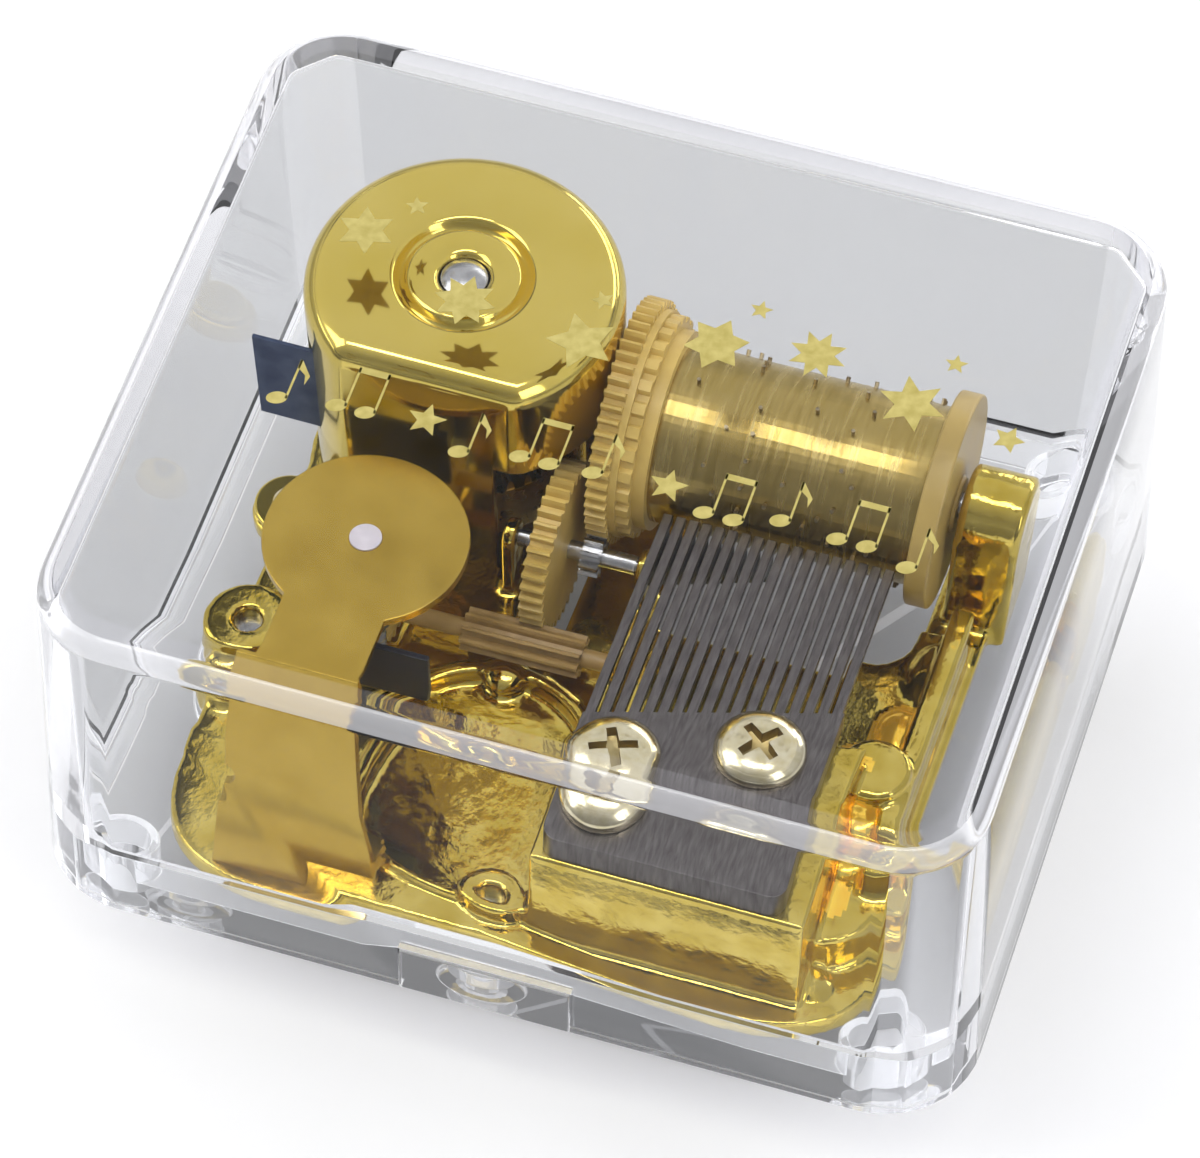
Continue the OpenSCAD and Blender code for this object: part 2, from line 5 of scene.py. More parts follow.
import bmesh
import bpy
from mathutils import Matrix, Vector


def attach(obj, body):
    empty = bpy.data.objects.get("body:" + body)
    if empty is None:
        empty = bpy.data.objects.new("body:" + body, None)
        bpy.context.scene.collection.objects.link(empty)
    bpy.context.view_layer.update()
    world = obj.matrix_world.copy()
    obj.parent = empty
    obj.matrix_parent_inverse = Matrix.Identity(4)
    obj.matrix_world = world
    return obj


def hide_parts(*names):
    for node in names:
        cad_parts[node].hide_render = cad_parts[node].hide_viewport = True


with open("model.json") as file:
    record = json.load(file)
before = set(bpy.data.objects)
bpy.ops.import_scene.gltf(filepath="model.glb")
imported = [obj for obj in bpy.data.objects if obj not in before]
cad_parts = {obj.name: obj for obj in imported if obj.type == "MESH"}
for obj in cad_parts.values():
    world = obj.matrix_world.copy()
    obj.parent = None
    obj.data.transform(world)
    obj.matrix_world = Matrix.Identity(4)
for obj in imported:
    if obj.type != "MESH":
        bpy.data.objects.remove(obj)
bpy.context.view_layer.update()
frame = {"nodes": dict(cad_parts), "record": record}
random.seed(18)
MM = 0.001
Z0 = 7.0                       # underside of the case, in millimetres above the floor
AXIS_Z = Z0 + 14.4             # height of the cylinder's axis, and of the comb's top face
FOOT_TOP = Z0 + 5.2            # top of the housing's feet
BRACKET_TOP = Z0 + 5.3         # top of the governor bracket's foot
HOUSE_FEET = ((-25.2, 3.7), (-24.4, 18.5), (-3.4, 20.1))
COMB_SCREWS = ((5.4, -16.4), (14.5, -13.0))
BRACKET_SCREWS = ((-17.6, -19.2), (-12.0, -19.2))
NODES = frame["nodes"]


# ---------------------------------------------------------------- materials
def material(name, low, high, metallic=0.0, rough=(0.3, 0.4), scale=900, stretch=(1, 1, 1), bump=0.0,
             transmission=0.0, ior=1.5):
    """A surface whose colour, roughness and relief all vary with one noise field."""
    m = bpy.data.materials.new(name)
    m.use_nodes = True
    m.diffuse_color = (*high, 1)
    t = m.node_tree
    shader = t.nodes["Principled BSDF"]
    shader.inputs["Metallic"].default_value = metallic
    shader.inputs["IOR"].default_value = ior
    shader.inputs["Transmission Weight"].default_value = transmission
    coords = t.nodes.new("ShaderNodeTexCoord")
    mapping = t.nodes.new("ShaderNodeMapping")
    mapping.inputs["Scale"].default_value = stretch
    noise = t.nodes.new("ShaderNodeTexNoise")
    noise.inputs["Scale"].default_value = scale
    noise.inputs["Detail"].default_value = 5
    ramp = t.nodes.new("ShaderNodeValToRGB")
    ramp.color_ramp.elements[0].position = 0.3
    ramp.color_ramp.elements[0].color = (*low, 1)
    ramp.color_ramp.elements[1].position = 0.7
    ramp.color_ramp.elements[1].color = (*high, 1)
    spread = t.nodes.new("ShaderNodeMapRange")
    spread.inputs["To Min"].default_value = rough[0]
    spread.inputs["To Max"].default_value = rough[1]
    link = t.links.new
    link(coords.outputs["Object"], mapping.inputs["Vector"])
    link(mapping.outputs["Vector"], noise.inputs["Vector"])
    link(noise.outputs["Fac"], ramp.inputs["Fac"])
    link(noise.outputs["Fac"], spread.inputs["Value"])
    link(ramp.outputs["Color"], shader.inputs["Base Color"])
    link(spread.outputs["Result"], shader.inputs["Roughness"])
    if bump:
        relief = t.nodes.new("ShaderNodeBump")
        relief.inputs["Strength"].default_value = 1.0
        relief.inputs["Distance"].default_value = bump * MM
        link(noise.outputs["Fac"], relief.inputs["Height"])
        link(relief.outputs["Normal"], shader.inputs["Normal"])
    return m


CLEAR_IOR = 1.43               # refraction of the case plastic
CALM = 0.75                    # share of the mirror image that is left out, away from grazing angles


def clear(name, tint, shade, glow, calmed=CALM, transmission=1.0):
    """Clear moulded plastic with a faint milky glow, which is painted light as strong as glow. Lamp rays pass
    straight through it, a little dimmed.
    """
    m = material(name, tint, [min(1, c * 1.01) for c in tint], rough=(0.0, 0.03), scale=120,
                 transmission=transmission, ior=CLEAR_IOR)
    t = m.node_tree
    # away from grazing angles most of the light goes straight on, with only part of the mirror image
    fresnel = t.nodes.new("ShaderNodeFresnel")
    fresnel.inputs["IOR"].default_value = CLEAR_IOR
    calm = t.nodes.new("ShaderNodeMapRange")
    calm.inputs["From Min"].default_value = 0.12
    calm.inputs["From Max"].default_value = 0.6
    calm.inputs["To Min"].default_value = calmed
    calm.inputs["To Max"].default_value = 0.0
    through = t.nodes.new("ShaderNodeBsdfRefraction")
    through.inputs["Color"].default_value = (*[c ** 0.5 for c in tint], 1)
    through.inputs["Roughness"].default_value = 0.0
    through.inputs["IOR"].default_value = CLEAR_IOR
    gloss = t.nodes.new("ShaderNodeMixShader")
    t.links.new(fresnel.outputs["Fac"], calm.inputs["Value"])
    t.links.new(calm.outputs["Result"], gloss.inputs["Fac"])
    t.links.new(t.nodes["Principled BSDF"].outputs["BSDF"], gloss.inputs[1])
    t.links.new(through.outputs["BSDF"], gloss.inputs[2])
    # painted light: the plastic glows a pale bluish white, as strong as glow
    t.nodes["Principled BSDF"].inputs["Emission Color"].default_value = (0.94, 0.95, 1.0, 1)
    t.nodes["Principled BSDF"].inputs["Emission Strength"].default_value = glow
    rays = t.nodes.new("ShaderNodeLightPath")
    thin = t.nodes.new("ShaderNodeBsdfTransparent")
    thin.inputs["Color"].default_value = (*shade, 1)
    mix = t.nodes.new("ShaderNodeMixShader")
    t.links.new(rays.outputs["Is Shadow Ray"], mix.inputs["Fac"])
    t.links.new(gloss.outputs["Shader"], mix.inputs[1])
    t.links.new(thin.outputs["BSDF"], mix.inputs[2])
    t.links.new(mix.outputs["Shader"], t.nodes["Material Output"].inputs["Surface"])
    return m


GOLD = (0.66, 0.48, 0.065)
PALE = (0.84, 0.66, 0.17)
lid_clear = clear("lid_clear", (0.88, 0.885, 0.89), (0.90, 0.90, 0.92), 0.002)
# painted shade: a greyer copy of the lid plastic for its back and side walls
wall_shade_clear = clear("wall_shade_clear", (0.62, 0.625, 0.64), (0.86, 0.86, 0.88), 0.002)
# painted highlight: a whiter, glowing copy of the lid plastic for the fillet along its top edge
edge_highlight_clear = clear("edge_highlight_clear", (0.93, 0.93, 0.96), (0.95, 0.95, 0.96), 0.10, 0.0, 0.7)
# painted light: a paler, glowing copy of the lid plastic for its outer corners
corner_glow_clear = clear("corner_glow_clear", (0.84, 0.845, 0.87), (0.95, 0.95, 0.96), 0.09, 0.3, 0.8)
# painted light: a faintly glowing copy of the lid plastic for the flat band round its top
rim_glow_clear = clear("rim_glow_clear", (0.90, 0.90, 0.94), (0.95, 0.95, 0.96), 0.015, 0.3, 0.95)
# painted light: the base plastic glows pale, so its sides read lighter
base_glow_clear = clear("base_glow_clear", (0.95, 0.955, 0.965), (0.85, 0.85, 0.87), 0.15, 0.3, 0.85)
# painted shade: a darker copy of the base plastic for its floor plate's large faces
plate_shade_clear = clear("plate_shade_clear", (0.66, 0.665, 0.675), (0.85, 0.85, 0.87), 0.0)
cast_gold = material("cast_gold", GOLD, PALE, 1.0, (0.05, 0.13), 420, bump=0.13)
# painted reflection: an orange gold that glows, for three lumps of the casting
amber_reflection_gold = material("amber_reflection_gold", (0.92, 0.50, 0.04), (1.0, 0.72, 0.12), 1.0, (0.08, 0.2), 500, bump=0.08)
amber_reflection_shader = amber_reflection_gold.node_tree.nodes["Principled BSDF"]
amber_reflection_shader.inputs["Emission Color"].default_value = (1.0, 0.55, 0.05, 1)
amber_reflection_shader.inputs["Emission Strength"].default_value = 0.24
# painted shade: a darker metal for the screw heads' cross recesses
recess_shade_metal = material("recess_shade_metal", (0.36, 0.28, 0.12), (0.56, 0.46, 0.23), 1.0, (0.25, 0.4), 900, bump=0.02)
cover_gold = material("cover_gold", (0.78, 0.60, 0.12), PALE, 1.0, (0.06, 0.14), 160, bump=0.006)
satin_gold = material("satin_gold", (0.52, 0.345, 0.055), (0.60, 0.415, 0.08), 1.0, (0.2, 0.3), 260, bump=0.004)
bright_gold = material("bright_gold", GOLD, PALE, 1.0, (0.06, 0.14), 300, bump=0.02)
screw_metal = material("screw_metal", (0.80, 0.70, 0.42), (0.92, 0.84, 0.62), 1.0, (0.1, 0.22), 1200, bump=0.015)
brass = material("brushed_brass", (0.41, 0.29, 0.075), (0.55, 0.42, 0.16), 1.0, (0.2, 0.32), 300,
                 stretch=(9, 0.6, 0.6), bump=0.003)
pin_steel = material("pin_steel", (0.20, 0.16, 0.10), (0.50, 0.42, 0.27), 1.0, (0.25, 0.4), 2000)
tan = material("tan_plastic", (0.49, 0.335, 0.075), (0.62, 0.44, 0.12), 0.0, (0.34, 0.5), 500, bump=0.02)
tan_dark = material("tan_flange", (0.36, 0.25, 0.07), (0.44, 0.31, 0.09), 0.0, (0.28, 0.42), 420, bump=0.02)
brown = material("brown_plastic", (0.34, 0.21, 0.06), (0.50, 0.33, 0.12), 0.0, (0.3, 0.45), 600, bump=0.02)
gear_brass = material("gear_brass", (0.60, 0.42, 0.12), (0.74, 0.55, 0.2), 1.0, (0.22, 0.34), 800, bump=0.02)
steel = material("ground_steel", (0.42, 0.42, 0.43), (0.62, 0.62, 0.63), 1.0, (0.18, 0.32), 900, bump=0.02)
comb_steel = material("comb_steel", (0.10, 0.09, 0.09), (0.19, 0.175, 0.175), 1.0, (0.28, 0.42), 700,
                      stretch=(6, 1, 1), bump=0.03)
blue_steel = material("blue_steel", (0.035, 0.05, 0.10), (0.09, 0.12, 0.20), 0.9, (0.25, 0.4), 600, bump=0.02)
lead = material("dull_lead", (0.10, 0.10, 0.105), (0.18, 0.18, 0.185), 0.8, (0.5, 0.65), 900, bump=0.03)
black = material("black_plastic", (0.010, 0.011, 0.018), (0.022, 0.024, 0.036), 0.0, (0.3, 0.42), 800, bump=0.01)
bush = material("pale_bush", (0.50, 0.46, 0.50), (0.60, 0.56, 0.60), 0.0, (0.3, 0.45), 900, bump=0.01)
ink = material("gold_ink", (0.46, 0.38, 0.10), (0.60, 0.51, 0.17), 0.35, (0.35, 0.5), 1500, bump=0.004)
white_floor = material("floor_white", (0.90, 0.90, 0.90), (0.92, 0.92, 0.92), 0.0, (0.6, 0.7), 30)

FINISH = {
    "base": base_glow_clear, "lid": lid_clear, "base_screws": steel, "bedplate": cast_gold, "bearing_post": bright_gold,
    "spring_housing": cover_gold, "housing_screws": screw_metal, "mainspring": blue_steel,
    "drive_wheel": gear_brass, "click": steel, "click_spring": blue_steel, "winding_arbor": steel,
    "winding_key": satin_gold, "ratchet_wheel": steel, "cylinder_arbor": steel, "drive_pinion": tan,
    "cylinder_gear": tan, "stepped_flange": tan, "cylinder_tube": brass, "cylinder_pins": pin_steel,
    "end_flange": tan_dark, "comb": comb_steel, "comb_screws": screw_metal, "tuning_weights": lead,
    "second_arbor": steel, "second_wheel": tan, "third_arbor": brown, "worm_wheel": tan, "worm_shaft": steel,
    "air_brake": black, "governor_bracket": satin_gold, "bracket_screws": screw_metal, "pivot_bush": bush,
}
BODY = {n: b for b, group in frame["record"]["behaviour"]["bodies"].items() for n in group}


def dress(obj, m):
    obj.data.materials.clear()
    obj.data.materials.append(m)


for node_name, node_object in NODES.items():
    dress(node_object, FINISH[node_name])


# ---------------------------------------------------------------- mesh helpers
def new_object(name, bm, m, body, nodes=(), smooth=35):
    """Turns a bmesh in millimetres into a shown piece that rides on a body."""
    bmesh.ops.recalc_face_normals(bm, faces=bm.faces)
    bmesh.ops.scale(bm, vec=(MM, MM, MM), verts=bm.verts)
    me = bpy.data.meshes.new(name)
    bm.to_mesh(me)
    bm.free()
    o = bpy.data.objects.new(name, me)
    bpy.context.scene.collection.objects.link(o)
    dress(o, m)
    soften(o, smooth)
    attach(o, body)
    if nodes:
        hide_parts(*nodes)
    return o


def soften(o, angle):
    """Smooth shading, with edges sharper than the angle kept sharp."""
    bm = bmesh.new()
    bm.from_mesh(o.data)
    limit = math.radians(angle)
    for f in bm.faces:
        f.smooth = True
    for edge in bm.edges:
        if len(edge.link_faces) == 2 and edge.calc_face_angle(0) > limit:
            edge.smooth = False
    bm.to_mesh(o.data)
    bm.free()


def apply_modifiers(o):
    """Bakes an object's modifiers into its mesh."""
    bpy.context.view_layer.update()
    dg = bpy.context.evaluated_depsgraph_get()
    me = bpy.data.meshes.new_from_object(o.evaluated_get(dg), depsgraph=dg)
    o.modifiers.clear()
    o.data = me


def from_node(node):
    """The CAD node's shape as a bmesh in millimetres, its flat faces joined up."""
    bm = bmesh.new()
    bm.from_mesh(NODES[node].data)
    bmesh.ops.scale(bm, vec=(1000, 1000, 1000), verts=bm.verts)
    bmesh.ops.remove_doubles(bm, verts=bm.verts, dist=0.0005)
    bmesh.ops.dissolve_limit(bm, angle_limit=math.radians(0.5), verts=bm.verts, edges=bm.edges)
    return bm


def bevelled(node, width, limit=32):
    """A copy of a CAD node with its edges rounded."""
    o = new_object(node + "_soft", from_node(node), FINISH[node], BODY[node], (node,), limit)
    mod = o.modifiers.new("edges", "BEVEL")
    mod.width = width * MM
    mod.segments = 3
    mod.limit_method = "ANGLE"
    mod.angle_limit = math.radians(limit)
    mod.harden_normals = False
    apply_modifiers(o)
    soften(o, 50)
    return o


def prism(points, z_low, z_high):
    """A closed upright solid on a polygon, as a bmesh in millimetres."""
    bm = bmesh.new()
    low = [bm.verts.new((x, y, z_low)) for x, y in points]
    high = [bm.verts.new((x, y, z_high)) for x, y in points]
    n = len(points)
    for i in range(n):
        bm.faces.new((low[i], low[(i + 1) % n], high[(i + 1) % n], high[i]))
    bm.faces.new(low[::-1])
    bm.faces.new(high)
    bmesh.ops.recalc_face_normals(bm, faces=bm.faces)
    return bm


def rings(rows, close_top=True, close_bottom=True):
    """A skin through rows of points that all have the same count."""
    bm = bmesh.new()
    made = [[bm.verts.new(p) for p in row] for row in rows]
    n = len(rows[0])
    for a, b in zip(made, made[1:]):
        for i in range(n):
            bm.faces.new((a[i], a[(i + 1) % n], b[(i + 1) % n], b[i]))
    if close_bottom:
        bm.faces.new(made[0][::-1])
    if close_top:
        bm.faces.new(made[-1])
    bmesh.ops.recalc_face_normals(bm, faces=bm.faces)
    return bm


def plain(name, bm):
    """A helper solid for cutting, in metres, not shown."""
    bmesh.ops.scale(bm, vec=(MM, MM, MM), verts=bm.verts)
    me = bpy.data.meshes.new(name)
    bm.to_mesh(me)
    bm.free()
    o = bpy.data.objects.new(name, me)
    bpy.context.scene.collection.objects.link(o)
    return o


def cut(o, tools):
    """Cuts helper solids out of an object and throws them away."""
    for tool in tools:
        mod = o.modifiers.new("cut", "BOOLEAN")
        mod.operation = "DIFFERENCE"
        mod.solver = "EXACT"
        mod.object = tool
        apply_modifiers(o)
        bpy.data.objects.remove(tool)


def join_into(bm, other):
    me = bpy.data.meshes.new("tmp")
    other.to_mesh(me)
    other.free()
    bm.from_mesh(me)
    bpy.data.meshes.remove(me)


def ball(centre, size, rot=0.0):
    bm = bmesh.new()
    bmesh.ops.create_icosphere(bm, subdivisions=3, radius=1)
    bmesh.ops.scale(bm, vec=size, verts=bm.verts)
    bmesh.ops.rotate(bm, matrix=Matrix.Rotation(math.radians(rot), 3, "Z"), verts=bm.verts)
    bmesh.ops.translate(bm, vec=centre, verts=bm.verts)
    return bm


def rounded_rect(w, d, r, k=10):
    """Points round a rectangle with round corners, anticlockwise."""
    out = []
    for sx, sy, start in ((1, -1, -90), (1, 1, 0), (-1, 1, 90), (-1, -1, 180)):
        for i in range(k + 1):
            a = math.radians(start + 90 * i / k)
            out.append((sx * (w / 2 - r) + r * math.cos(a), sy * (d / 2 - r) + r * math.sin(a)))
    return out


def cut_rect(w, d, c, k=2, r=0.5):
    """Points round a rectangle with its corners cut at 45 degrees, each angle slightly rounded."""
    corners = []
    for sx, sy in ((1, -1), (1, 1), (-1, 1), (-1, -1)):
        a, b = (sx * w / 2, sy * (d / 2 - c)), (sx * (w / 2 - c), sy * d / 2)
        corners += [b, a] if sx * sy < 0 else [a, b]
    out = []
    n = len(corners)
    for i, p in enumerate(corners):
        before, after = Vector(corners[i - 1]), Vector(corners[(i + 1) % n])
        p = Vector(p)
        s = p + (before - p).normalized() * r
        e = p + (after - p).normalized() * r
        for j in range(k + 1):
            t = j / k
            q = s * (1 - t) ** 2 + p * 2 * t * (1 - t) + e * t ** 2
            out.append((q.x, q.y))
    return out


# ---------------------------------------------------------------- clear case
W, D, H = 65.0, 55.7, 29.5
TOP = Z0 + H


def lid():
    slope = math.tan(math.radians(1.4))
    rows = []
    fillet = 1.3
    for z in (Z0, Z0 + 0.15):
        inset = (z - Z0) * slope + (0.12 if z == Z0 else 0)
        rows.append([(x, y, z) for x, y in rounded_rect(W - 2 * inset, D - 2 * inset, 6.7)])
    for i in range(9):
        a = math.radians(90 * i / 8)
        z = TOP - 0.03 - fillet * (1 - math.sin(a))
        inset = (z - Z0) * slope + fillet * (1 - math.cos(a))
        rows.append([(x, y, z) for x, y in rounded_rect(W - 2 * inset, D - 2 * inset, 6.7 - inset)])
    inset = (TOP - Z0) * slope + 2.3
    rows.append([(x, y, TOP - 0.03) for x, y in rounded_rect(W - 2 * inset, D - 2 * inset, 3.4)])
    o = new_object("clear_lid", rings(rows), lid_clear, "lid", ("lid",), 40)
    for m in (edge_highlight_clear, rim_glow_clear, wall_shade_clear, corner_glow_clear):
        o.data.materials.append(m)
    edge, rim, wall, corner = 1, 2, 3, 4
    # painted highlight on the top edge's fillet faces, and a faint painted glow on the flat rim band
    for face in o.data.polygons:
        if face.center.z > (TOP - fillet) * MM and abs(face.normal.z) < 0.99:
            face.material_index = edge
        elif face.normal.z > 0.99 and len(face.vertices) == 4:
            face.material_index = rim
    skirt = prism(cut_rect(W - 2.6, D - 2.6, 2.5), Z0 - 1, Z0 + 6)
    room = []
    for inset, z in ((0, Z0 - 1), (0, TOP - 2.9), (0.06, TOP - 2.6), (0.25, TOP - 2.38), (0.6, TOP - 2.3)):
        room.append([(x, y, z) for x, y in cut_rect(W - 4.6 - 2 * inset, D - 4.6 - 2 * inset, 2.5)])
    notch = prism([(-5.9, -30), (6.1, -30), (6.1, -D / 2 + 2.3), (-5.9, -D / 2 + 2.3)], Z0 - 1, Z0 + 4.6)
    cut(o, [plain("a", skirt), plain("b", rings(room)), plain("c", notch)])
    # painted shade on the back and side walls, which get a greyer copy of the plastic, and painted light on the
    # outer corners, which get a paler glowing copy; the front wall stays as clear as the top
    for face in o.data.polygons:
        n, c = face.normal, face.center
        if face.material_index == 0 and abs(n.z) < 0.3:
            if min(abs(n.x), abs(n.y)) > 0.12 and n.x * c.x + n.y * c.y > 0:
                face.material_index = corner
            elif c.y > -24 * MM:
                face.material_index = wall
    soften(o, 40)
    return o


def ink_print():
    """Generic ornaments in gold ink on the lid: notes and stars."""
    bm = bmesh.new()
    z_low, z_high = TOP - 0.029, TOP - 0.004

    def slab(points):
        join_into(bm, prism(points, z_low, z_high))

    def star(x, y, r, n=5, inner=0.45, turn=90.0):
        pts = []
        for i in range(2 * n):
            a = math.radians(turn + 180 * i / n)
            q = r if i % 2 == 0 else r * inner
            pts.append((x + q * math.cos(a), y + q * math.sin(a)))
        slab(pts)

    def oval(x, y, rx, ry, turn):
        t = math.radians(turn)
        pts = []
        for i in range(20):
            a = math.tau * i / 20
            u, v = rx * math.cos(a), ry * math.sin(a)
            pts.append((x + u * math.cos(t) - v * math.sin(t), y + u * math.sin(t) + v * math.cos(t)))
        slab(pts)

    def bar(x0, y0, x1, y1, w):
        d = Vector((x1 - x0, y1 - y0)).normalized() * w / 2
        slab([(x0 + d.y, y0 - d.x), (x1 + d.y, y1 - d.x), (x1 - d.y, y1 + d.x), (x0 - d.y, y0 + d.x)])

    def note(x, y, s, kind):
        oval(x, y, 0.75 * s, 0.52 * s, 22)
        bar(x + 0.62 * s, y + 0.1 * s, x + 0.62 * s, y + 3.6 * s, 0.16 * s)
        if kind == "flag":
            slab([(x + 0.56 * s, y + 3.6 * s), (x + 0.7 * s, y + 3.6 * s), (x + 1.6 * s, y + 2.4 * s),
                  (x + 1.45 * s, y + 1.6 * s), (x + 1.25 * s, y + 2.4 * s), (x + 0.56 * s, y + 2.9 * s)])
        if kind == "pair":
            oval(x + 2.1 * s, y, 0.75 * s, 0.52 * s, 22)
            bar(x + 2.72 * s, y + 0.1 * s, x + 2.72 * s, y + 3.6 * s, 0.16 * s)
            bar(x + 0.55 * s, y + 3.4 * s, x + 2.8 * s, y + 3.4 * s, 0.5 * s)

    kinds = ("flag", "pair", "star", "flag", "pair", "flag", "star", "pair", "flag", "pair", "flag")
    x = -21.5
    for i, kind in enumerate(kinds):
        y = -4.6 + 0.6 * math.sin(i * 1.7)
        if kind == "star":
            star(x + 1.1, y + 1.4, 1.35)
            x += 3.9
        else:
            note(x, y, 0.95, kind)
            x += 4.9 if kind == "pair" else 3.9
    for px, py, r, n, inner in ((-20.4, 10.4, 2.0, 6, 0.55), (-12.3, 6.8, 2.1, 8, 0.6), (-3.9, 5.9, 2.4, 5, 0.5),
                                (4.6, 8.4, 2.2, 6, 0.6), (11.2, 9.6, 2.0, 8, 0.55), (18.2, 7.6, 2.3, 6, 0.5),
                                (25.0, 6.7, 1.1, 5, 0.5), (-17.8, 13.4, 0.8, 5, 0.45), (-3.6, 9.6, 0.8, 5, 0.45),
                                (6.6, 12.0, 0.8, 5, 0.45), (20.1, 11.6, 0.8, 5, 0.45)):
        star(px, py, r, n, inner, 90 + 11 * px)
    return new_object("lid_ornament", bm, ink, "lid", (), 30)


lid()
ink_print()
# the base, with painted shade: a darker copy of its plastic on the two large faces of its floor plate
base_skin = bevelled("base", 0.22)
base_skin.data.materials.append(plate_shade_clear)
for face in base_skin.data.polygons:
    if abs(face.normal.z) > 0.95 and face.area > 300 * MM * MM:
        face.material_index = 1


# ---------------------------------------------------------------- spring housing
HX, HY, HOUSE_R, FLAT = -13.9, 11.3, 10.9, 2.4
HOUSE_TOP = Z0 + 25.5


def house_ring(inset, rc=1.9, arc=72, k=6, segs=14):
    """Outline of the housing, its two corners rounded, moved inwards by inset."""
    core, flat = HOUSE_R - rc, FLAT + rc
    half = math.degrees(math.asin((HY - flat) / core))
    out = []
    a0, a1 = -half, 180 + half
    for i in range(arc + 1):
        a = math.radians(a0 + (a1 - a0) * i / arc)
        out.append((core * math.cos(a), core * math.sin(a), math.degrees(a)))
    pts = list(out)
    left, right = out[-1], out[0]
    for i in range(1, k + 1):
        pts.append((left[0], left[1], a1 + (270 - a1) * i / k))
    for i in range(1, segs):
        t = i / segs
        pts.append((left[0] + (right[0] - left[0]) * t, left[1], 270))
    for i in range(k):
        pts.append((right[0], right[1], 270 + (360 + a0 - 270) * i / k))
    r = rc - inset
    return [(HX + x + r * math.cos(math.radians(n)), HY + y + r * math.sin(math.radians(n))) for x, y, n in pts]


def housing():
    fillet = 1.7
    rows = [[(x, y, Z0 + 4.6) for x, y in house_ring(0)]]
    for i in range(9):
        a = math.radians(90 * i / 8)
        z = HOUSE_TOP - fillet * (1 - math.sin(a))
        rows.append([(x, y, z) for x, y in house_ring(fillet * (1 - math.cos(a)))])
    last = house_ring(fillet)
    turn = [math.atan2(y - HY, x - HX) for x, y in last]

    def circle(r, z):
        rows.append([(HX + r * math.cos(a), HY + r * math.sin(a), z) for a in turn])

    for r, z in ((5.1, 0), (4.85, -0.05), (4.7, -0.22), (4.55, -0.55), (4.3, -0.7), (4.05, -0.55), (3.9, -0.2),
                 (3.75, -0.03), (3.5, 0), (2.5, 0), (2.1, -0.06), (1.8, -0.25), (1.68, -0.6), (1.66, -1.0)):
        circle(r, HOUSE_TOP + z)
    bm = rings(rows, False, False)
    o = new_object("housing_skin", bm, cover_gold, "movement", ("spring_housing",), 60)
    mod = o.modifiers.new("sheet", "SOLIDIFY")
    mod.thickness = 0.6 * MM
    mod.offset = -1
    apply_modifiers(o)
    side = prism([(-9.3, 0.3), (-1.3, 0.3), (-1.3, 18.1), (-9.3, 18.1)], Z0 + 4, Z0 + 17.2)
    tail = prism([(-26, 4.96), (-21, 4.96), (-21, 6.36), (-26, 6.36)], Z0 + 13.0, Z0 + 21.8)
    cut(o, [plain("a", side), plain("b", tail)])
    soften(o, 42)
    for i, (fx, fy) in enumerate(HOUSE_FEET):
        to = math.atan2(HY - fy, HX - fx)
        reach = math.hypot(HY - fy, HX - fx) - HOUSE_R + 0.3
        pts = [(fx + 2.6 * math.cos(to + math.radians(a)), fy + 2.6 * math.sin(to + math.radians(a)))
               for a in range(55, 306, 10)]
        c, s = math.cos(to), math.sin(to)
        pts += [(fx + reach * c + 2.1 * s, fy + reach * s - 2.1 * c),
                (fx + reach * c - 2.1 * s, fy + reach * s + 2.1 * c)]
        foot = new_object(f"housing_foot_{i}", prism(pts, Z0 + 4.6, FOOT_TOP), cover_gold, "movement")
        mod = foot.modifiers.new("edges", "BEVEL")
        mod.width = 0.2 * MM
        mod.segments = 3
        apply_modifiers(foot)
        soften(foot, 50)


housing()


# ---------------------------------------------------------------- cast bedplate
def bedplate():
    """The casting: the CAD shape with softer lumps and a round bearing, melted together by a voxel remesh."""
    bm = from_node("bedplate")
    lumps = (((20.9, -9.0, Z0 + 6.5), (3.0, 3.4, 3.2), 0), ((22.2, -4.5, Z0 + 6.0), (2.2, 3.0, 2.4), 15),
             ((21.0, -14.2, Z0 + 5.0), (2.4, 2.6, 2.2), 0), ((22.6, 1.5, Z0 + 6.0), (1.9, 3.4, 2.2), 0),
             ((20.6, -18.6, Z0 + 4.2), (1.8, 2.0, 1.2), 30), ((-5.8, -6.2, Z0 + 5.0), (1.6, 1.6, 1.0), 0))
    for c, size, rot in lumps:
        join_into(bm, ball(c, size, rot))
    # the round sleeve of the right bearing, resting on its saddle
    around = [(3.15 * math.cos(math.tau * i / 40), 3.15 * math.sin(math.tau * i / 40)) for i in range(40)]
    join_into(bm, rings([[(x, HY + a, AXIS_Z + b) for a, b in around] for x in (21.9, 26.3)]))
    o = new_object("bed_casting", bm, cast_gold, "movement", ("bedplate",), 30)
    mod = o.modifiers.new("melt", "REMESH")
    mod.mode = "VOXEL"
    mod.voxel_size = 0.24 * MM
    smooth = o.modifiers.new("smooth", "SMOOTH")
    smooth.factor = 0.5
    smooth.iterations = 5
    apply_modifiers(o)
    # painted reflection: the first three lumps get an orange gold that glows
    o.data.materials.append(amber_reflection_gold)
    for face in o.data.polygons:
        x, y, z = face.center / MM
        for (cx, cy, cz), (rx, ry, rz), _ in lumps[:3]:
            if ((x - cx) / rx) ** 2 + ((y - cy) / ry) ** 2 + ((z - cz) / rz) ** 2 < 1.25:
                face.material_index = 1
    soften(o, 80)


bedplate()

# ---------------------------------------------------------------- smaller pieces
bevelled("governor_bracket", 0.22)
bevelled("comb", 0.12)


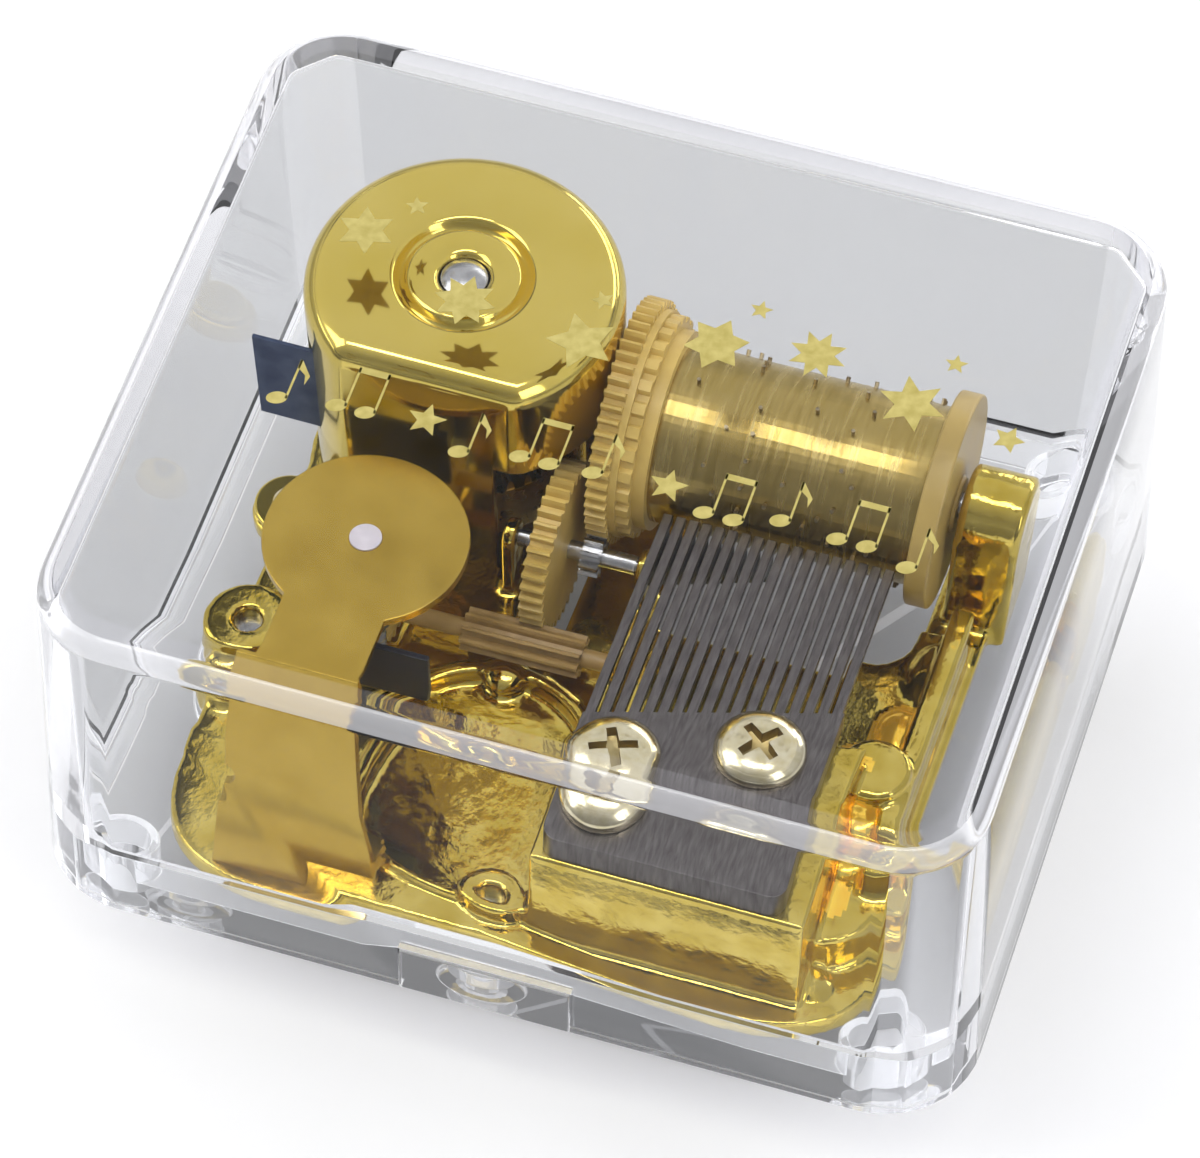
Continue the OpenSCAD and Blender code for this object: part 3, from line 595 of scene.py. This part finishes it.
def cross_screws(node, places, r, h, z, arm, width, deep, turns):
    """Pan heads of radius r and height h standing on z, each with a domed top and a cross recess painted darker as
    painted shade.

    arm, width and deep are the recess's half length, half width and depth, and turns its angle in each head.
    """
    bm = bmesh.new()
    dome = ((r - 0.25, 0.0), (r - 0.05, 0.06), (r, 0.2), (r - 0.03, 0.4 * h), (r * 0.9, 0.62 * h),
            (r * 0.76, 0.8 * h), (r * 0.58, 0.91 * h), (r * 0.38, 0.975 * h), (r * 0.16, h))
    for x, y in places:
        rows = []
        for rr, zz in dome:
            rows.append([(x + rr * math.cos(math.tau * i / 48), y + rr * math.sin(math.tau * i / 48), z + zz)
                         for i in range(48)])
        join_into(bm, rings(rows))
    o = new_object(node + "_heads", bm, screw_metal, "movement", (node,), 40)
    tools = []
    for (x, y), spin in zip(places, turns):
        pts = []
        for i in range(4):
            a = math.radians(spin + 90 * i)
            for u, v in ((arm, -width), (arm, width), (width * 1.15, width * 1.15)):
                pts.append((x + u * math.cos(a) - v * math.sin(a), y + u * math.sin(a) + v * math.cos(a)))
        tools.append(plain("cross", prism(pts, z + h - deep, z + h + 1)))
    cut(o, tools)
    # painted shade: the faces down inside the cross recesses get the darker metal
    o.data.materials.append(recess_shade_metal)
    for face in o.data.polygons:
        c = face.center / MM
        out = min(math.hypot(c.x - x, c.y - y) for x, y in places)
        if out < arm + 0.05 and c.z < z + h * (1 - 0.3 * (out / r) ** 2) - 0.2:
            face.material_index = 1
    mod = o.modifiers.new("edges", "BEVEL")
    mod.width = 0.07 * MM
    mod.segments = 2
    mod.limit_method = "ANGLE"
    mod.angle_limit = math.radians(38)
    apply_modifiers(o)
    soften(o, 45)


cross_screws("comb_screws", COMB_SCREWS, 3.15, 1.7, AXIS_Z, 1.6, 0.34, 1.2, (25, 50))
cross_screws("housing_screws", HOUSE_FEET, 1.3, 0.7, FOOT_TOP, 0.62, 0.16, 0.42, (10, 40, 70))
cross_screws("bracket_screws", BRACKET_SCREWS, 1.2, 0.7, BRACKET_TOP, 0.6, 0.15, 0.42, (30, 60))
bevelled("end_flange", 0.22)
bevelled("winding_key", 0.3)
bevelled("winding_arbor", 0.12)
bevelled("bearing_post", 0.2)
bevelled("air_brake", 0.06)
# the CAD nodes that still show are shaded flat, so that their edges stay crisp
for name in NODES:
    if not NODES[name].hide_render:
        for p in NODES[name].data.polygons:
            p.use_smooth = False

# ---------------------------------------------------------------- stage, lights and camera
floor_mesh = bmesh.new()
bmesh.ops.create_grid(floor_mesh, x_segments=2, y_segments=2, size=2.0)
floor_data = bpy.data.meshes.new("floor")
floor_mesh.to_mesh(floor_data)
floor_mesh.free()
floor = bpy.data.objects.new("floor", floor_data)
bpy.context.scene.collection.objects.link(floor)
dress(floor, white_floor)


def lamp(name, place, aim, size, power, colour=(1, 1, 1)):
    data = bpy.data.lights.new(name, "AREA")
    data.shape = "RECTANGLE"
    data.size, data.size_y = size
    data.energy = power
    data.color = colour
    o = bpy.data.objects.new(name, data)
    bpy.context.scene.collection.objects.link(o)
    o.location = place
    o.rotation_euler = (Vector(aim) - Vector(place)).to_track_quat("-Z", "Y").to_euler()
    return o


MID = (0, 0, 0.02)
lamp("over", (0.0, -0.06, 0.75), MID, (0.5, 0.12), 1.3)
lamp("key", (-0.5, -0.1, 0.5), MID, (0.35, 0.5), 1.5)
lamp("back", (0.2, 0.6, 0.16), MID, (0.5, 0.18), 1.2)
lamp("fill", (0.5, -0.3, 0.4), MID, (0.2, 0.4), 0.8, (0.97, 0.98, 1))

world = bpy.data.worlds.new("studio")
bpy.context.scene.world = world
world.use_nodes = True
tree = world.node_tree
coords = tree.nodes.new("ShaderNodeTexCoord")
split = tree.nodes.new("ShaderNodeSeparateXYZ")
ramp = tree.nodes.new("ShaderNodeValToRGB")
stops = ((0.0, 0.7), (0.40, 0.62), (0.55, 0.80), (0.68, 1.0), (0.86, 1.0), (1.0, 0.9))
while len(ramp.color_ramp.elements) < len(stops):
    ramp.color_ramp.elements.new(0.5)
for element, (position, level) in zip(ramp.color_ramp.elements, stops):
    element.position = position
    element.color = (level, level, level * 1.01, 1)
remap = tree.nodes.new("ShaderNodeMapRange")
remap.inputs["From Min"].default_value = -1.0
front = tree.nodes.new("ShaderNodeMapRange")
front.inputs["From Min"].default_value = -0.75
front.inputs["From Max"].default_value = -0.1
front.inputs["To Min"].default_value = 0.35
dim = tree.nodes.new("ShaderNodeMath")
dim.operation = "MULTIPLY"
dim.inputs[1].default_value = 0.88
tree.links.new(split.outputs["Y"], front.inputs["Value"])
tree.links.new(front.outputs["Result"], dim.inputs[0])
tree.links.new(dim.outputs["Value"], tree.nodes["Background"].inputs["Strength"])
tree.links.new(coords.outputs["Generated"], split.inputs["Vector"])
tree.links.new(split.outputs["Z"], remap.inputs["Value"])
tree.links.new(remap.outputs["Result"], ramp.inputs["Fac"])
tree.links.new(ramp.outputs["Color"], tree.nodes["Background"].inputs["Color"])

bpy.context.scene.view_settings.view_transform = "Standard"

azimuth, elevation, roll = math.radians(-16.97), math.radians(54.53), math.radians(-0.65)
turn_z = Matrix.Rotation(azimuth, 3, "Z")
tilt = Matrix(((1, 0, 0), (0, math.sin(elevation), math.cos(elevation)),
               (0, -math.cos(elevation), math.sin(elevation))))
turn = Matrix.Rotation(roll, 3, "Z") @ tilt @ turn_z
camera = bpy.data.objects.new("camera", bpy.data.cameras.new("camera"))
bpy.context.scene.collection.objects.link(camera)
camera.data.sensor_width = 36.0
camera.data.lens = 201.17
camera.data.clip_start, camera.data.clip_end = 0.01, 20
camera.matrix_world = Matrix.Translation(Vector((0.07586, -0.25076, 0.38677))) @ turn.transposed().to_4x4()
bpy.context.scene.camera = camera
